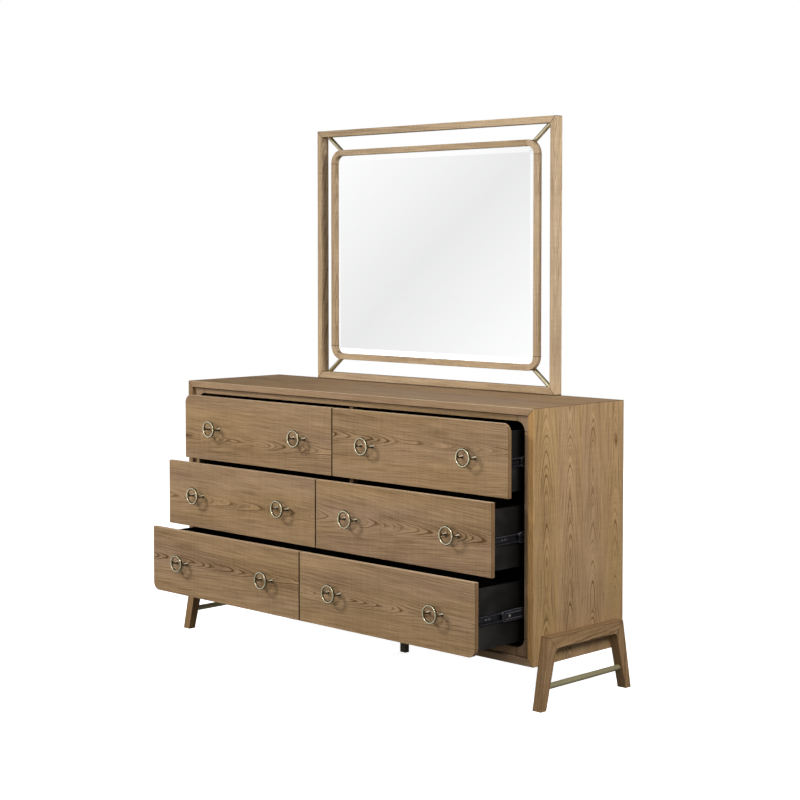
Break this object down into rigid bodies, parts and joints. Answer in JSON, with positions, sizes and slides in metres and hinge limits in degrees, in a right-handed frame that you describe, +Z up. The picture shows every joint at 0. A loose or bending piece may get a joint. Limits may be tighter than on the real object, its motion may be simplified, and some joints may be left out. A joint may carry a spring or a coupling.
{
  "type": "dresser with mirror",
  "caption": "Low wide chest of drawers on splayed trestle legs, with ring pulls on inset fronts and a floating round-cornered mirror in a square frame on top.",
  "frame": {"origin": "on the floor, at the middle of the foot of the centre support leg, which is in the dresser's middle plane and 65 mm behind the middle of the case's depth", "axes": "+Z up, +X to the right seen from the front, the drawers open towards -Y"},
  "size_m": [1.664, 0.6617, 1.777],
  "materials": {
    "ash_veneer": "open grain veneer in a warm light brown stain, satin",
    "dark_stained_wood": "dark stain, matt",
    "raw_pine": "sawn",
    "back_board": "hardboard, matt",
    "black_lining": "black foil, matt",
    "antique_brass": "brushed antique",
    "black_slide_steel": "black electrocoat, satin",
    "zinc_steel": "zinc plated",
    "silvered_glass": "polished, bevelled edge"
  },
  "bodies": {
    "case": {"top_panel": "ash_veneer", "bottom_panel": "ash_veneer", "left_side_panel": "ash_veneer", "right_side_panel": "ash_veneer", "back_panel": "back_board", "centre_stile": "ash_veneer", "centre_partition": "black_lining", "face_frame_rails": "ash_veneer", "face_frame_stiles": "ash_veneer", "face_frame_corner_blocks": "ash_veneer", "front_legs": "ash_veneer", "back_legs": "ash_veneer", "leg_rails": "ash_veneer", "stretcher_rods": "antique_brass", "leg_frame_bolts": "zinc_steel", "centre_support_leg": "dark_stained_wood", "mirror_frame_rails": "ash_veneer", "mirror_frame_stiles": "ash_veneer", "inner_frame_rails": "ash_veneer", "inner_frame_stiles": "ash_veneer", "inner_frame_corner_blocks": "ash_veneer", "mirror_corner_rods": "antique_brass", "mirror_glass": "silvered_glass", "mirror_backing_board": "back_board", "mirror_support_plates": "zinc_steel", "support_plate_screws": "zinc_steel", "cabinet_slide_members": "black_slide_steel", "slide_spacers": "raw_pine"},
    "top_left_drawer": {"top_left_drawer_front": "ash_veneer", "top_left_drawer_box": "black_lining", "top_left_drawer_pulls": "antique_brass", "top_left_drawer_slides": "black_slide_steel"},
    "top_left_intermediate_slides": {"top_left_intermediate_slides": "black_slide_steel"},
    "top_right_drawer": {"top_right_drawer_front": "ash_veneer", "top_right_drawer_box": "black_lining", "top_right_drawer_pulls": "antique_brass", "top_right_drawer_slides": "black_slide_steel"},
    "top_right_intermediate_slides": {"top_right_intermediate_slides": "black_slide_steel"},
    "middle_left_drawer": {"middle_left_drawer_front": "ash_veneer", "middle_left_drawer_box": "black_lining", "middle_left_drawer_pulls": "antique_brass", "middle_left_drawer_slides": "black_slide_steel"},
    "middle_left_intermediate_slides": {"middle_left_intermediate_slides": "black_slide_steel"},
    "middle_right_drawer": {"middle_right_drawer_front": "ash_veneer", "middle_right_drawer_box": "black_lining", "middle_right_drawer_pulls": "antique_brass", "middle_right_drawer_slides": "black_slide_steel"},
    "middle_right_intermediate_slides": {"middle_right_intermediate_slides": "black_slide_steel"},
    "bottom_left_drawer": {"bottom_left_drawer_front": "ash_veneer", "bottom_left_drawer_box": "black_lining", "bottom_left_drawer_pulls": "antique_brass", "bottom_left_drawer_slides": "black_slide_steel"},
    "bottom_left_intermediate_slides": {"bottom_left_intermediate_slides": "black_slide_steel"},
    "bottom_right_drawer": {"bottom_right_drawer_front": "ash_veneer", "bottom_right_drawer_box": "black_lining", "bottom_right_drawer_pulls": "antique_brass", "bottom_right_drawer_slides": "black_slide_steel"},
    "bottom_right_intermediate_slides": {"bottom_right_intermediate_slides": "black_slide_steel"}
  },
  "joints": [
    {"name": "top_left_drawer_slide", "type": "slide", "parent": "case", "child": "top_left_drawer", "axis": [0, -1, 0], "range_m": [-0.067, 0.233]},
    {"name": "top_left_intermediate_slides_run", "type": "slide", "parent": "case", "child": "top_left_intermediate_slides", "axis": [0, -1, 0], "range_m": [-0.03685, 0.12815]},
    {"name": "top_right_drawer_slide", "type": "slide", "parent": "case", "child": "top_right_drawer", "axis": [0, -1, 0], "range_m": [-0.067, 0.233]},
    {"name": "top_right_intermediate_slides_run", "type": "slide", "parent": "case", "child": "top_right_intermediate_slides", "axis": [0, -1, 0], "range_m": [-0.03685, 0.12815]},
    {"name": "middle_left_drawer_slide", "type": "slide", "parent": "case", "child": "middle_left_drawer", "axis": [0, -1, 0], "range_m": [-0.1395, 0.1605]},
    {"name": "middle_left_intermediate_slides_run", "type": "slide", "parent": "case", "child": "middle_left_intermediate_slides", "axis": [0, -1, 0], "range_m": [-0.07673, 0.08828]},
    {"name": "middle_right_drawer_slide", "type": "slide", "parent": "case", "child": "middle_right_drawer", "axis": [0, -1, 0], "range_m": [-0.1395, 0.1605]},
    {"name": "middle_right_intermediate_slides_run", "type": "slide", "parent": "case", "child": "middle_right_intermediate_slides", "axis": [0, -1, 0], "range_m": [-0.07673, 0.08828]},
    {"name": "bottom_left_drawer_slide", "type": "slide", "parent": "case", "child": "bottom_left_drawer", "axis": [0, -1, 0], "range_m": [-0.21, 0.09]},
    {"name": "bottom_left_intermediate_slides_run", "type": "slide", "parent": "case", "child": "bottom_left_intermediate_slides", "axis": [0, -1, 0], "range_m": [-0.1155, 0.0495]},
    {"name": "bottom_right_drawer_slide", "type": "slide", "parent": "case", "child": "bottom_right_drawer", "axis": [0, -1, 0], "range_m": [-0.21, 0.09]},
    {"name": "bottom_right_intermediate_slides_run", "type": "slide", "parent": "case", "child": "bottom_right_intermediate_slides", "axis": [0, -1, 0], "range_m": [-0.1155, 0.0495]}
  ],
  "couplings": [
    {"joint": "top_left_intermediate_slides_run", "follows": "top_left_drawer_slide", "ratio": 0.55},
    {"joint": "top_right_intermediate_slides_run", "follows": "top_right_drawer_slide", "ratio": 0.55},
    {"joint": "middle_left_intermediate_slides_run", "follows": "middle_left_drawer_slide", "ratio": 0.55},
    {"joint": "middle_right_intermediate_slides_run", "follows": "middle_right_drawer_slide", "ratio": 0.55},
    {"joint": "bottom_left_intermediate_slides_run", "follows": "bottom_left_drawer_slide", "ratio": 0.55},
    {"joint": "bottom_right_intermediate_slides_run", "follows": "bottom_right_drawer_slide", "ratio": 0.55}
  ]
}
